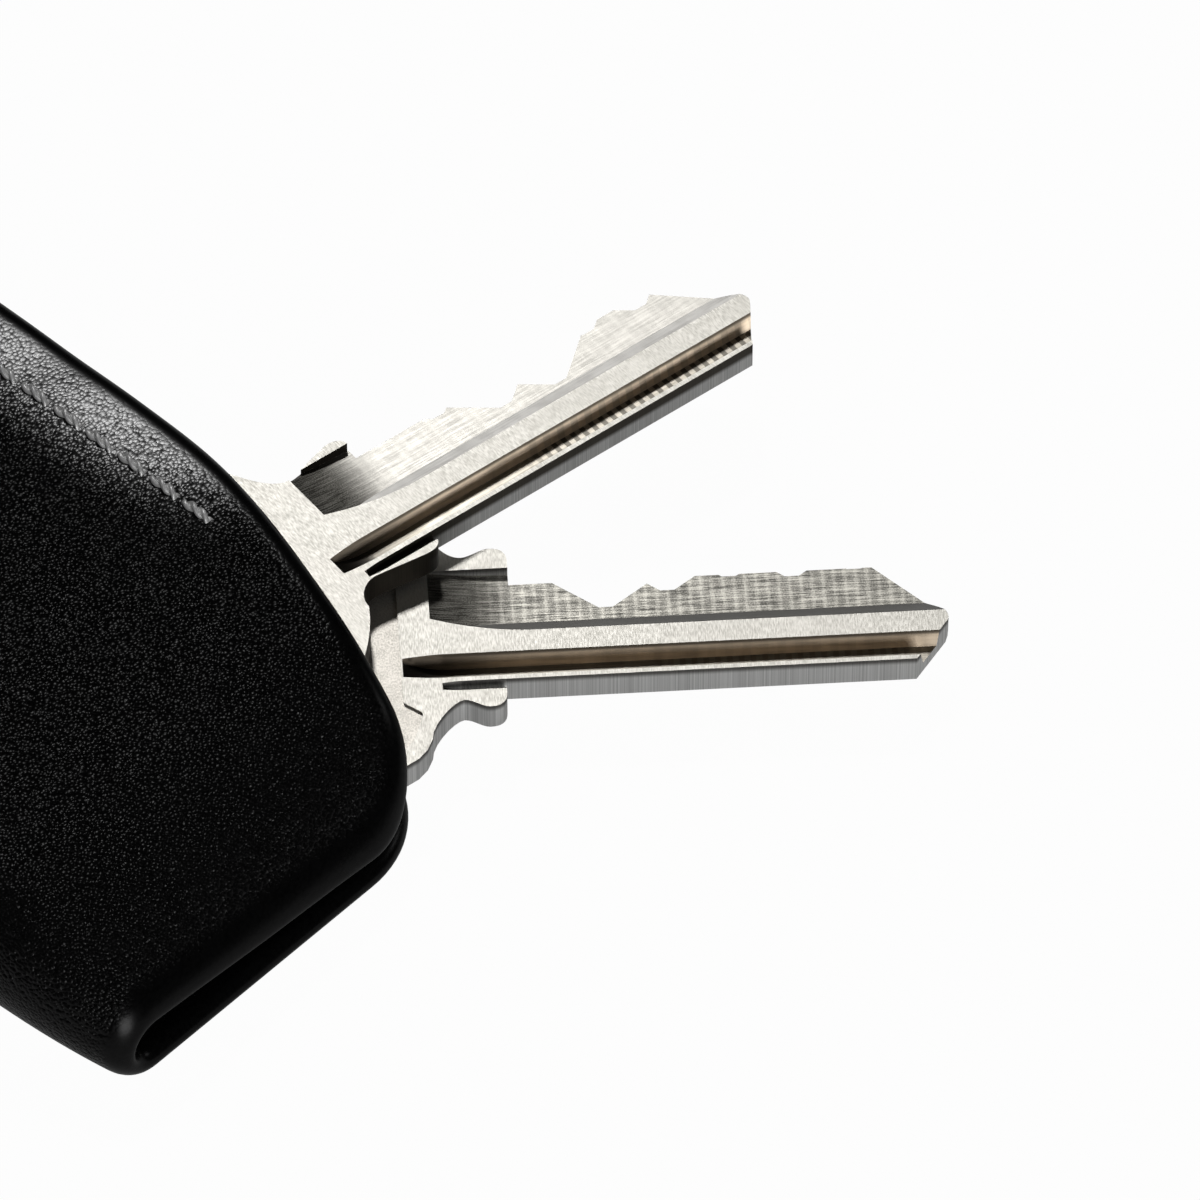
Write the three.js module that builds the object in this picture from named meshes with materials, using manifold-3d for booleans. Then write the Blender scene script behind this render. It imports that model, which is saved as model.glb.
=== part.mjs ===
// Leather key cover with two house keys that swing out on a hidden post.
// Millimetres, +Z up. The origin is on the post axis, at the underside of the back panel.
// +X runs along the cover to its far end and +Y runs across it to the folded spine.
import * as THREE from 'three';
import { mergeVertices } from 'three/addons/utils/BufferGeometryUtils.js';
import Module from 'manifold-3d';

const wasm = await Module();
wasm.setup();

// Leather cover, seen from above
const LEATHER_T = 1.8;
const NEAR_END = 20.2;
const FAR_END = 66.5;
const OPEN_SIDE = 9.8;
const FOLD_LINE = 22;
const FLANK_TURN = 16;
const FLANK_START = 4.4;
const NEAR_CORNER_R = 7.7;
const FLANK_R = 40;
const FAR_CORNER_R = 9;
const SEAM_GAP = 0.3;

// The rolled edges: places across the roll, and how much of the thickness its nose keeps
const ROLL_SHARES = [0, 0.12, 0.45, 1];
const EDGE_FLAT = 0.25;

// How far the panels stand apart where the ends are pinched, and how long the slopes are
const NEAR_PINCH = 0.3;
const NEAR_PINCH_FOLD = 2.3;
const NEAR_SLOPE = 28;
const NEAR_CURVE = 4.6;
const FAR_PINCH = 1.2;
const FAR_SLOPE = 9;
const FAR_CURVE = 2.5;

// Layers of the stack on the post
const LINING_T = 0.5;
const PLATE_T = 0.5;
const FLANGE_T = 0.5;
const WASHER_T = 0.3;
const KEY_T = 2;
const HEAD_T = 0.8;
const PLAY = 0.1;
const HEAD_ROOM = 0.35;
const SIDE_GAP = 0.3;

// Post, screw, washers and the plate that anchors them
const POST_D = 4.2;
const FLANGE_D = 8;
const BORE_D = 2.6;
const SHANK_D = 2;
const BORE_FLOOR = 0.8;
const HEAD_D = 8.4;
const SLOT_W = 1.2;
const SLOT_DEPTH = 0.45;
const WASHER_D = 9;
const PLATE_W = 12;
const PLATE_REACH = 15;
const PLATE_TURN = 45;

// Linings, as distances inside the leather outline
const LINING_INSET = 2;
const LINING_NEAR_INSET = 5;
const LINING_FAR_INSET = 10;
const LINING_FOLD_INSET = 2;
const FRONT_LINING_START = 1.5;
const LINING_CORNER_R = 1;

// How far cutting tools stand out past the faces they cut
const OVERCUT = 1;

// How finely curves are stepped, and where the leather has sections between its rolled edges
const OUTLINE_STEPS = 16;
const SPINE_STEPS = 12;
const KEY_CURVE_STEPS = 7;
const SLOT_STEPS = 10;
const RUN_OUT_STEPS = 8;
const PANEL_SHARES = [0.2, 0.45, 0.7, 1];
const END_ROWS = [1.6, 2.6, 4, 5.6, 7.4, FAR_SLOPE];
const NEAR_ROWS = [11, 13.5, 16.5, 20, 24, NEAR_SLOPE];

// Magnetic snap
const SNAP_D = 9;
const SNAP_WALL = 0.4;
const SNAP_CUP_H = 3;
const SNAP_BORE_D = 3.6;
const SNAP_STUD_D = 2.8;
const SNAP_STUD_H = 1.2;
const SNAP_REACH = 0.8;
const SNAP_INSET = 5.8;

// Keys: s runs along the blade from the shoulder to the tip, h across it from its straight edge
const BLADE_L = 27.3;
const BLADE_H = 8.25;
const FIRST_CUT = 6;
const CUT_PITCH = 3.95;
const CUT_FLAT = 0.9;
const CUT_SLOPE = 0.78;
const RAMP_RUN = 4.4;
const NOSE_LOW = 3.1;
const NOSE_HIGH = 3.8;
const NOSE_BEVEL = 2.2;
const NOSE_ROUND = 1.1;
const NUB_ROUND = 1.1;
const BOW_W = 23;
const BOW_L = 20;
const BOW_NECK = 6.3;
const BOW_CORNER_R = 8;
const BOW_FLARE = 1.2;
const BOW_RIM = 0.9;
const BOW_STAMP_DEPTH = 0.2;
const HOLE_NEAR = 17.7;
const HOLE_FAR = 21.2;
const MAIN_GROOVE = { low: 0.32, high: 2.25, start: 7, depth: 1.2, endDepth: 0.3, runOut: 3, slant: 0.3 };
const SHORT_GROOVE = { low: -0.75, high: 0, depth: 0.6, endDepth: 0.3, runOut: 1.5, slant: 0.2 };
const BACK_GROOVE = { low: 2.9, high: 4.6, start: 6, depth: 0.6, endDepth: 0.2, runOut: 3, slant: 0.3 };
const UPPER_MILL = { low: 3.9, high: 9.1, start: 5.1, depth: 0.7, endDepth: 0.2, slant: 1.2, rise: 1.3 };

// The two keys differ in their cuts and in the outline between the nubs and the bow:
// rise is measured up from the full height of the blade, drop down from its straight edge
const LOWER_KEY = {
  cuts: [6.06, 7.2, 8.1, 7.86, 8.2],
  upperNub: { s: 0, rise: 2.5 },
  upperWaist: { s: -2.9, rise: 1.85 },
  upperNeck: { s: -4.3, rise: 2.75 },
  upperFlare: { s: -7.5, rise: 7.3 },
  lowerNub: { s: -0.6, drop: 2.18 },
  lowerWaist: { s: -3.3, drop: 1.55 },
  lowerNeck: { s: -5.45, drop: 4.6 },
  lowerFlare: { s: -6.3, drop: 7.8 },
  shortGrooveStart: 4.6,
  bowStep: -7.1,
  stampPoint: { s: -5.9, drop: 2.45 },
  hole: HOLE_FAR,
  turn: -133.3,
};
const UPPER_KEY = {
  cuts: [7.9, 6.05, 5.5, 7.75, 7.4],
  upperNub: { s: -0.3, rise: 1.55 },
  upperWaist: { s: -5.1, rise: 0.6 },
  upperNeck: { s: -7.5, rise: 2.9 },
  upperFlare: { s: -9.1, rise: 5.9 },
  lowerNub: { s: -0.55, drop: 1.33 },
  lowerWaist: { s: -5.7, drop: 0.82 },
  lowerNeck: { s: -7.4, drop: 2.6 },
  lowerFlare: { s: -9.2, drop: 5.6 },
  shortGrooveStart: 5.9,
  bowStep: -11.5,
  stampPoint: { s: -10.9, drop: 2.5 },
  hole: HOLE_NEAR,
  turn: -99.3,
};

// Levels that follow from the stack
const leatherTop = LEATHER_T;
const plateBottom = leatherTop - PLATE_T - PLAY;
const liningBottom = leatherTop + PLAY;
const liningTop = liningBottom + LINING_T;
const flangeBottom = leatherTop + PLAY;
const flangeTop = flangeBottom + FLANGE_T;
const stackBottom = Math.max(liningTop, flangeTop) + PLAY;
const lowerKeyBottom = stackBottom + WASHER_T + PLAY;
const middleWasherBottom = lowerKeyBottom + KEY_T + PLAY;
const upperKeyBottom = middleWasherBottom + WASHER_T + PLAY;
const upperWasherBottom = upperKeyBottom + KEY_T + PLAY;
const postTop = upperWasherBottom + WASHER_T;
const headBottom = postTop + PLAY;
const coverInside = headBottom + HEAD_T + HEAD_ROOM;
const fullGap = coverInside - leatherTop;
const frontLiningBottom = coverInside - PLAY - LINING_T;

const radians = (degrees) => THREE.MathUtils.degToRad(degrees);

const finishes = {
  leather: { color: 0x101010, roughness: 0.55, metalness: 0 },
  lining: { color: 0x1c1c1e, roughness: 0.9, metalness: 0 },
  steel: { color: 0x9b9c9e, roughness: 0.35, metalness: 1 },
  nylon: { color: 0x26272a, roughness: 0.6, metalness: 0 },
  nickel: { color: 0xc9c4b8, roughness: 0.3, metalness: 1 },
  magnet: { color: 0x55575a, roughness: 0.4, metalness: 1 },
};

function piece(name, geometry, finish) {
  const mesh = new THREE.Mesh(geometry, new THREE.MeshStandardMaterial(finishes[finish]));
  mesh.name = name;
  return mesh;
}

// Boolean joins and cuts
function solidOf(geometry) {
  const bare = geometry.clone();
  for (const name of Object.keys(bare.attributes)) {
    if (name !== 'position') bare.deleteAttribute(name);
  }
  const merged = mergeVertices(bare, 1e-5);
  return new wasm.Manifold(new wasm.Mesh({
    numProp: 3,
    vertProperties: new Float32Array(merged.attributes.position.array),
    triVerts: new Uint32Array(merged.index.array),
  }));
}

function geometryOf(solid) {
  const mesh = solid.getMesh();
  const geometry = new THREE.BufferGeometry();
  geometry.setAttribute('position', new THREE.BufferAttribute(mesh.vertProperties, 3));
  geometry.setIndex(new THREE.BufferAttribute(mesh.triVerts, 1));
  geometry.computeVertexNormals();
  return geometry;
}

function cut(geometry, tools) {
  return geometryOf(tools.reduce((rest, tool) => rest.subtract(tool), solidOf(geometry)));
}

// Flat shapes
// A polygon whose corners [x, y, radius] are rounded.
function roundedOutline(corners, arcSteps = 6) {
  return corners.flatMap(([x, y, radius], index) => {
    const [px, py] = corners.at(index - 1);
    const [nx, ny] = corners[(index + 1) % corners.length];
    const corner = new THREE.Vector2(x, y);
    const back = new THREE.Vector2(px - x, py - y).normalize();
    const ahead = new THREE.Vector2(nx - x, ny - y).normalize();
    if (radius === 0) return corner;
    const half = Math.acos(back.dot(ahead)) / 2;
    const centre = back.clone().add(ahead).normalize().multiplyScalar(radius / Math.sin(half)).add(corner);
    const from = corner.clone().addScaledVector(back, radius / Math.tan(half)).sub(centre);
    const turn = (Math.PI - 2 * half) * Math.sign(ahead.cross(back));
    return Array.from({ length: arcSteps + 1 }, (_, step) => (
      from.clone().rotateAround(new THREE.Vector2(), (turn * step) / arcSteps).add(centre)
    ));
  });
}

function slab(points, bottom, thickness, holes = []) {
  const shape = new THREE.Shape(points);
  shape.holes = holes.map((hole) => new THREE.Path(hole));
  const geometry = new THREE.ExtrudeGeometry(shape, { depth: thickness, bevelEnabled: false });
  return geometry.translate(0, 0, bottom);
}

function circle(radius, x = 0, y = 0, steps = 32) {
  return Array.from({ length: steps }, (_, step) => {
    const angle = (2 * Math.PI * step) / steps;
    return new THREE.Vector2(x + radius * Math.cos(angle), y + radius * Math.sin(angle));
  });
}

// Two half circles about a and b, joined by straight sides.
function stadium(a, b, radius, steps = 12) {
  const heading = Math.atan2(b.y - a.y, b.x - a.x);
  const ends = [[b, heading - Math.PI / 2], [a, heading + Math.PI / 2]];
  return ends.flatMap(([centre, start]) => Array.from({ length: steps + 1 }, (_, step) => {
    const angle = start + (Math.PI * step) / steps;
    return new THREE.Vector2(centre.x + radius * Math.cos(angle), centre.y + radius * Math.sin(angle));
  }));
}

function turned(profile, steps = 32) {
  const points = profile.map(([r, z]) => new THREE.Vector2(r, z));
  return new THREE.LatheGeometry(points, steps).rotateX(Math.PI / 2);
}

function ring(outerD, innerD, bottom, thickness) {
  return slab(circle(outerD / 2), bottom, thickness, [circle(innerD / 2)]);
}

// Leather cover
// The outline's corners, each moved in from the edges of the leather by the given distances.
function coverCorners(side, near, far, fold) {
  const slope = Math.tan(radians(FLANK_TURN));
  const drop = side / Math.cos(radians(FLANK_TURN));
  const flankY = (x) => -OPEN_SIDE + drop + slope * (FLANK_START - x);
  const openY = -OPEN_SIDE + side;
  const meetX = FLANK_START + (drop - side) / slope;
  const radius = (full) => Math.max(full - Math.max(side, near), LINING_CORNER_R);
  return [
    [-NEAR_END + near, FOLD_LINE - fold, 0],
    [-NEAR_END + near, flankY(-NEAR_END + near), radius(NEAR_CORNER_R)],
    [meetX, openY, FLANK_R - side],
    [FAR_END - far, openY, radius(FAR_CORNER_R)],
    [FAR_END - far, FOLD_LINE - fold, 0],
  ];
}

// Where the leather's open side lies at a station along the cover.
function openSideAt(x) {
  const outline = roundedOutline(coverCorners(0, 0, 0, 0), OUTLINE_STEPS);
  const crossings = outline.flatMap((a, index) => {
    const b = outline[(index + 1) % outline.length];
    const share = (x - a.x) / (b.x - a.x);
    return share >= 0 && share <= 1 ? [THREE.MathUtils.lerp(a.y, b.y, share)] : [];
  });
  return Math.min(...crossings);
}

// The rise from a pinched end to the full height, steep at the edge and level inside.
const pillow = (distance, run, curve) => 1 - (1 - THREE.MathUtils.clamp(distance / run, 0, 1)) ** curve;

// Inner distance between the panels at a point of the plan.
function gapAt(x, y) {
  const across = THREE.MathUtils.clamp(y / FOLD_LINE, 0, 1);
  const nearPinch = THREE.MathUtils.lerp(NEAR_PINCH, NEAR_PINCH_FOLD, across);
  const nearRise = pillow(x + NEAR_END, NEAR_SLOPE, NEAR_CURVE);
  const farRise = pillow(FAR_END - x, FAR_SLOPE, FAR_CURVE);
  const near = THREE.MathUtils.lerp(nearPinch, fullGap, nearRise);
  const far = THREE.MathUtils.lerp(FAR_PINCH, fullGap, farRise);
  return Math.min(near, far);
}

// Half the thickness of the leather at a distance in from a free edge that is rolled to a half round.
function rolledHalf(inset) {
  const half = LEATHER_T / 2;
  const share = 1 - THREE.MathUtils.clamp(inset / half, 0, 1);
  return half * Math.max(Math.sqrt(1 - share * share), EDGE_FLAT);
}

// A leather panel: sections across the cover, one at each station, skinned end to end.
// The two ends and the open side are rolled, and the side on the fold line stays square.
function leatherPanel(stations, underside) {
  const half = LEATHER_T / 2;
  const insets = ROLL_SHARES.map((share) => share * half);
  const positions = stations.flatMap((x) => {
    const openY = openSideAt(x);
    const spread = PANEL_SHARES.map((share) => THREE.MathUtils.lerp(half, FOLD_LINE - openY, share));
    const endHalf = rolledHalf(Math.min(x + NEAR_END, FAR_END - x));
    const rows = [...insets, ...spread].map((inset) => {
      const y = openY + inset;
      return [y, underside(x, y) + half, Math.min(rolledHalf(inset), endHalf)];
    });
    const lower = rows.map(([y, middle, thick]) => [x, y, middle - thick]);
    const upper = rows.map(([y, middle, thick]) => [x, y, middle + thick]).reverse();
    return [...lower, ...upper].flat();
  });
  return skinned(positions, stations.length);
}

// Closed sections with the same number of points each, joined in turn and closed at both ends.
// In each section the points run out along one side and back along the other.
function skinned(positions, sections) {
  const size = positions.length / 3 / sections;
  const at = (section, index) => section * size + (index % size);
  const triangles = [];
  for (let j = 0; j < sections - 1; j += 1) {
    for (let i = 0; i < size; i += 1) {
      triangles.push(at(j, i), at(j, i + 1), at(j + 1, i + 1), at(j, i), at(j + 1, i + 1), at(j + 1, i));
    }
  }
  const end = sections - 1;
  for (let i = 0; i < size / 2 - 1; i += 1) {
    const [a, b, c, d] = [i, i + 1, size - 2 - i, size - 1 - i];
    triangles.push(at(0, a), at(0, c), at(0, b), at(0, a), at(0, d), at(0, c));
    triangles.push(at(end, a), at(end, b), at(end, c), at(end, a), at(end, c), at(end, d));
  }
  const geometry = new THREE.BufferGeometry();
  geometry.setAttribute('position', new THREE.Float32BufferAttribute(positions, 3));
  geometry.setIndex(triangles);
  geometry.computeVertexNormals();
  return geometry;
}

// The spine: half rounds of leather, one at each station along the fold.
function spineLeather(stations, arcSteps) {
  const positions = stations.flatMap((x) => {
    const innerR = gapAt(x, FOLD_LINE) / 2;
    const centreZ = leatherTop + innerR;
    const arc = (radius) => Array.from({ length: arcSteps + 1 }, (_, step) => {
      const angle = Math.PI * (0.5 - step / arcSteps);
      return [x, FOLD_LINE + SEAM_GAP + radius * Math.cos(angle), centreZ + radius * Math.sin(angle)];
    });
    return [...arc(innerR), ...arc(innerR + LEATHER_T).reverse()].flat();
  });
  return skinned(positions, stations.length);
}

// Keys
// The cut edge from the tip's ramp back to the shoulder: flat-bottomed V cuts, clipped at the full height.
function bittingEdge(roots) {
  const heightAt = (s) => roots.reduce((lowest, root, index) => {
    const away = Math.abs(s - FIRST_CUT - CUT_PITCH * index);
    return Math.min(lowest, root + CUT_SLOPE * Math.max(away - CUT_FLAT / 2, 0));
  }, BLADE_H);
  const stops = roots.flatMap((root, index) => {
    const middle = FIRST_CUT + CUT_PITCH * index;
    const run = CUT_FLAT / 2 + (BLADE_H - root) / CUT_SLOPE;
    const next = roots[index + 1] ?? BLADE_H;
    const ridge = middle + CUT_PITCH / 2 + (next - root) / (2 * CUT_SLOPE);
    return [middle - run, middle - CUT_FLAT / 2, middle + CUT_FLAT / 2, ridge, middle + run];
  });
  const rampStart = BLADE_L - RAMP_RUN;
  const kept = stops.filter((s) => s > 0 && s < rampStart).sort((a, b) => b - a);
  return [rampStart, ...kept].map((s) => [s, heightAt(s)]);
}

// The outline from the blade's straight edge round the tip, back along the cuts and round the bow.
function keyShape(form) {
  const { cuts, upperNub, upperWaist, upperNeck, upperFlare } = form;
  const { lowerNub, lowerWaist, lowerNeck, lowerFlare } = form;
  const bowTop = (BLADE_H + BOW_W) / 2;
  const bowBottom = (BLADE_H - BOW_W) / 2;
  const bowEnd = -BOW_NECK - BOW_L;
  const bowShoulder = -BOW_NECK - BOW_CORNER_R / 2 - 2 * BOW_FLARE;
  const nubTop = BLADE_H + upperNub.rise;
  const highEnd = upperNub.s - NUB_ROUND;
  const lowEnd = lowerNub.s - NUB_ROUND;
  const waistTop = BLADE_H + upperWaist.rise;
  const pull = NUB_ROUND / 2;
  const shape = new THREE.Shape();
  shape.moveTo(lowerNub.s, 0);
  shape.lineTo(BLADE_L - NOSE_BEVEL, 0);
  shape.lineTo(BLADE_L, NOSE_LOW);
  shape.quadraticCurveTo(BLADE_L + NOSE_ROUND / 4, NOSE_HIGH, BLADE_L - NOSE_ROUND, NOSE_HIGH + NOSE_ROUND);
  bittingEdge(cuts).forEach(([s, h]) => shape.lineTo(s, h));
  // Upper nub, waist and bow
  shape.lineTo(upperNub.s, BLADE_H);
  shape.lineTo(upperNub.s, nubTop - NUB_ROUND);
  shape.quadraticCurveTo(upperNub.s, nubTop, highEnd, nubTop);
  shape.bezierCurveTo(highEnd - pull, nubTop, upperWaist.s + pull, waistTop, upperWaist.s, waistTop);
  shape.quadraticCurveTo((upperWaist.s + upperNeck.s) / 2, waistTop, upperNeck.s, BLADE_H + upperNeck.rise);
  shape.quadraticCurveTo(upperFlare.s, BLADE_H + upperFlare.rise, bowShoulder, bowTop);
  shape.lineTo(bowEnd + BOW_CORNER_R, bowTop);
  shape.quadraticCurveTo(bowEnd, bowTop, bowEnd, bowTop - BOW_CORNER_R);
  shape.lineTo(bowEnd, bowBottom + BOW_CORNER_R);
  shape.quadraticCurveTo(bowEnd, bowBottom, bowEnd + BOW_CORNER_R, bowBottom);
  shape.lineTo(bowShoulder, bowBottom);
  // Lower flare, waist and nub
  const bend = BOW_FLARE - lowerNeck.drop;
  const nubBottom = -lowerNub.drop;
  const waistBottom = -lowerWaist.drop;
  shape.quadraticCurveTo(lowerFlare.s, -lowerFlare.drop, lowerNeck.s, -lowerNeck.drop);
  shape.bezierCurveTo(lowerNeck.s, bend, lowerWaist.s - pull, waistBottom, lowerWaist.s, waistBottom);
  shape.bezierCurveTo(lowerWaist.s + pull, waistBottom, lowEnd - pull, nubBottom, lowEnd, nubBottom);
  shape.quadraticCurveTo(lowerNub.s, nubBottom, lowerNub.s, nubBottom + NUB_ROUND);
  return shape;
}

// A groove along the blade with slanted walls, cut down from a face at the level z = 0.
// Towards the bow the cutter rises on an arc, so the groove ends shallower and narrower.
function grooveTool({ low, high, start, depth, slant, runOut = 0, endDepth = depth }) {
  const steps = runOut > 0 ? RUN_OUT_STEPS : 0;
  const rising = Array.from({ length: steps + 1 }, (_, step) => {
    const left = 1 - step / RUN_OUT_STEPS;
    return [runOut * (1 - left) - start, depth - (depth - endDepth) * left ** 2];
  });
  const sections = [...rising, [BLADE_L + OVERCUT, depth]];
  const positions = sections.flatMap(([s, deep]) => {
    const lean = (slant / depth) * (deep + OVERCUT);
    const [lowFoot, highFoot] = [low + slant, high - slant];
    return [
      [s, lowFoot, -deep],
      [s, highFoot, -deep],
      [s, highFoot + lean, OVERCUT],
      [s, lowFoot - lean, OVERCUT],
    ].flat();
  });
  return skinned(positions, sections.length);
}

// The upper half of the blade is milled thinner, and the cut runs out on a ramp towards the bow.
function upperMillTool() {
  const { low, high, start, depth, endDepth, slant, rise } = UPPER_MILL;
  const end = BLADE_L + OVERCUT;
  const plan = new THREE.Shape();
  plan.moveTo(-start, low + rise);
  plan.quadraticCurveTo(-start / 3, low, start / 3, low);
  plan.lineTo(end, low);
  plan.lineTo(end, high);
  plan.lineTo(-start, high);
  plan.lineTo(-start, low + rise);
  const outline = new THREE.ExtrudeGeometry(plan, { depth: depth + OVERCUT, bevelEnabled: false });
  const side = new THREE.Shape();
  side.moveTo(-start - OVERCUT, -endDepth);
  side.lineTo(-start, -endDepth);
  side.quadraticCurveTo(-start / 2, -depth, 0, -depth);
  side.lineTo(end + OVERCUT, -depth);
  side.lineTo(end + OVERCUT, OVERCUT);
  side.lineTo(-start - OVERCUT, OVERCUT);
  const floor = new THREE.ExtrudeGeometry(side, {
    depth: high + OVERCUT,
    bevelEnabled: false,
    curveSegments: RUN_OUT_STEPS,
  });
  floor.rotateX(Math.PI / 2).translate(0, high + OVERCUT, 0);
  const wall = grooveTool({ low, high: high + BLADE_H, start: start + OVERCUT, depth, slant });
  return solidOf(outline.translate(0, 0, -depth)).intersect(solidOf(floor)).intersect(solidOf(wall));
}

// The bow's face is stamped a little lower than the blade, inside a narrow rim.
function bowStampTool({ bowStep, stampPoint, lowerWaist }) {
  const top = (BLADE_H + BOW_W) / 2 - BOW_RIM;
  const bottom = (BLADE_H - BOW_W) / 2 + BOW_RIM;
  const back = -BOW_NECK - BOW_L + BOW_RIM;
  const corner = BOW_CORNER_R - BOW_RIM;
  const points = roundedOutline([
    [back, top, corner],
    [back, bottom, corner],
    [bowStep, bottom, corner / 2],
    [stampPoint.s, -stampPoint.drop, BOW_RIM / 3],
    [bowStep, -lowerWaist.drop, BOW_RIM / 3],
    [bowStep, top, corner / 2],
  ]);
  return slab(points, -BOW_STAMP_DEPTH, BOW_STAMP_DEPTH + OVERCUT);
}

function key(name, form, bottom) {
  const middle = BLADE_H / 2;
  const shape = keyShape(form);
  const slotEnds = [HOLE_FAR, HOLE_NEAR].map((distance) => new THREE.Vector2(-distance, middle));
  shape.holes.push(new THREE.Path(stadium(...slotEnds, POST_D / 2 + SIDE_GAP, SLOT_STEPS)));
  const blank = new THREE.ExtrudeGeometry(shape, {
    depth: KEY_T,
    bevelEnabled: false,
    curveSegments: KEY_CURVE_STEPS,
  });
  const shortGroove = { ...SHORT_GROOVE, start: form.shortGrooveStart };
  const onFace = [grooveTool(MAIN_GROOVE), grooveTool(shortGroove), bowStampTool(form)].map(solidOf);
  const onBack = grooveTool(BACK_GROOVE).rotateX(Math.PI);
  onBack.translate(0, BACK_GROOVE.low + BACK_GROOVE.high, 0);
  const tools = [...onFace, upperMillTool()].map((tool) => tool.translate(0, 0, KEY_T));
  const milled = cut(blank, [...tools, solidOf(onBack)]).translate(form.hole, -middle, 0);
  const mesh = piece(name, milled, 'nickel');
  mesh.rotation.z = radians(form.turn);
  mesh.position.z = bottom;
  return mesh;
}

// Assembly
const cover = new THREE.Group();

const endInsets = [...ROLL_SHARES.map((share) => (share * LEATHER_T) / 2), ...END_ROWS];
const nearInsets = [...endInsets, ...NEAR_ROWS];
const stations = [
  ...nearInsets.map((inset) => inset - NEAR_END),
  ...endInsets.map((inset) => FAR_END - inset).reverse(),
];
const plateEnds = [0, PLATE_REACH].map((reach) => new THREE.Vector2(
  reach * Math.cos(radians(PLATE_TURN)),
  reach * Math.sin(radians(PLATE_TURN)),
));

const backPanel = leatherPanel(stations, () => 0);
const platePocket = slab(stadium(...plateEnds, PLATE_W / 2 + SIDE_GAP), plateBottom - PLAY, LEATHER_T);
cover.add(piece('back_leather', cut(backPanel, [solidOf(platePocket)]), 'leather'));

const frontUnderside = (x, y) => leatherTop + gapAt(x, y);
const frontPanel = leatherPanel(stations, frontUnderside);
cover.add(piece('front_leather', frontPanel, 'leather'));

cover.add(piece('spine_leather', spineLeather(stations, SPINE_STEPS), 'leather'));

cover.add(piece('base_plate', slab(stadium(...plateEnds, PLATE_W / 2), plateBottom, PLATE_T), 'steel'));

const backLiningOutline = roundedOutline(
  coverCorners(LINING_INSET, LINING_NEAR_INSET, LINING_FAR_INSET, LINING_FOLD_INSET),
);
const flangeHole = circle(FLANGE_D / 2 + SIDE_GAP);
cover.add(piece('back_lining', slab(backLiningOutline, liningBottom, LINING_T, [flangeHole]), 'lining'));

const postProfile = [
  [0, flangeBottom],
  [FLANGE_D / 2, flangeBottom],
  [FLANGE_D / 2, flangeTop],
  [POST_D / 2, flangeTop],
  [POST_D / 2, postTop],
  [BORE_D / 2, postTop],
  [BORE_D / 2, flangeBottom + BORE_FLOOR],
  [0, flangeBottom + BORE_FLOOR],
];
cover.add(piece('post_barrel', turned(postProfile), 'steel'));

const shankBottom = flangeBottom + BORE_FLOOR + SIDE_GAP;
const headProfile = [
  [0, shankBottom],
  [SHANK_D / 2, shankBottom],
  [SHANK_D / 2, headBottom],
  [HEAD_D / 2, headBottom],
  [HEAD_D / 2, headBottom + HEAD_T / 2],
  [HEAD_D / 2 - HEAD_T / 2, headBottom + HEAD_T],
  [0, headBottom + HEAD_T],
];
const driverSlot = new THREE.BoxGeometry(HEAD_D + OVERCUT, SLOT_W, 2 * SLOT_DEPTH);
driverSlot.translate(0, 0, headBottom + HEAD_T);
cover.add(piece('post_screw', cut(turned(headProfile), [solidOf(driverSlot)]), 'steel'));

const washers = {
  washer_lower: stackBottom,
  washer_middle: middleWasherBottom,
  washer_upper: upperWasherBottom,
};
for (const [name, bottom] of Object.entries(washers)) {
  cover.add(piece(name, ring(WASHER_D, POST_D + 2 * SIDE_GAP, bottom, WASHER_T), 'nylon'));
}

cover.add(key('key_lower', LOWER_KEY, lowerKeyBottom));
cover.add(key('key_upper', UPPER_KEY, upperKeyBottom));

const frontCorners = coverCorners(LINING_INSET, 0, LINING_FAR_INSET, LINING_FOLD_INSET);
const frontLiningOutline = roundedOutline([
  [FRONT_LINING_START, FOLD_LINE - LINING_FOLD_INSET, LINING_CORNER_R],
  [FRONT_LINING_START, -OPEN_SIDE + LINING_INSET, LINING_CORNER_R],
  ...frontCorners.slice(3),
]);
const frontLining = slab(frontLiningOutline, frontLiningBottom, LINING_T);
const reliefOutline = circle(HEAD_D / 2 + 2 * SIDE_GAP);
const headRelief = slab(reliefOutline, frontLiningBottom - OVERCUT, LINING_T + 2 * OVERCUT);
cover.add(piece('front_lining', cut(frontLining, [solidOf(headRelief)]), 'lining'));

// The snap sits beyond the circle that the longer key's tip sweeps.
const snapX = HOLE_FAR + BLADE_L + SNAP_REACH + SNAP_D / 2;
const snapY = -OPEN_SIDE + SNAP_INSET;
const cupBottom = liningTop + PLAY;
const cupTop = cupBottom + SNAP_CUP_H;
const cupProfile = [
  [0, cupBottom],
  [SNAP_D / 2, cupBottom],
  [SNAP_D / 2, cupTop],
  [SNAP_D / 2 - SNAP_WALL, cupTop],
  [SNAP_D / 2 - SNAP_WALL, cupBottom + SNAP_WALL],
  [0, cupBottom + SNAP_WALL],
];
const magnetBottom = cupBottom + SNAP_WALL + PLAY;
const magnetD = SNAP_D - 2 * SNAP_WALL - 2 * SIDE_GAP;
const studTop = frontLiningBottom - PLAY;
const studProfile = [
  [0, cupTop + PLAY - SNAP_STUD_H],
  [SNAP_STUD_D / 2, cupTop + PLAY - SNAP_STUD_H],
  [SNAP_STUD_D / 2, cupTop + PLAY],
  [SNAP_D / 2, cupTop + PLAY],
  [SNAP_D / 2, studTop],
  [0, studTop],
];
const snap = {
  snap_cup: [turned(cupProfile), 'steel'],
  snap_magnet: [ring(magnetD, SNAP_BORE_D, magnetBottom, cupTop - magnetBottom), 'magnet'],
  snap_stud: [turned(studProfile), 'steel'],
};
for (const [name, [geometry, finish]] of Object.entries(snap)) {
  cover.add(piece(name, geometry.translate(snapX, snapY, 0), finish));
}

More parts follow.
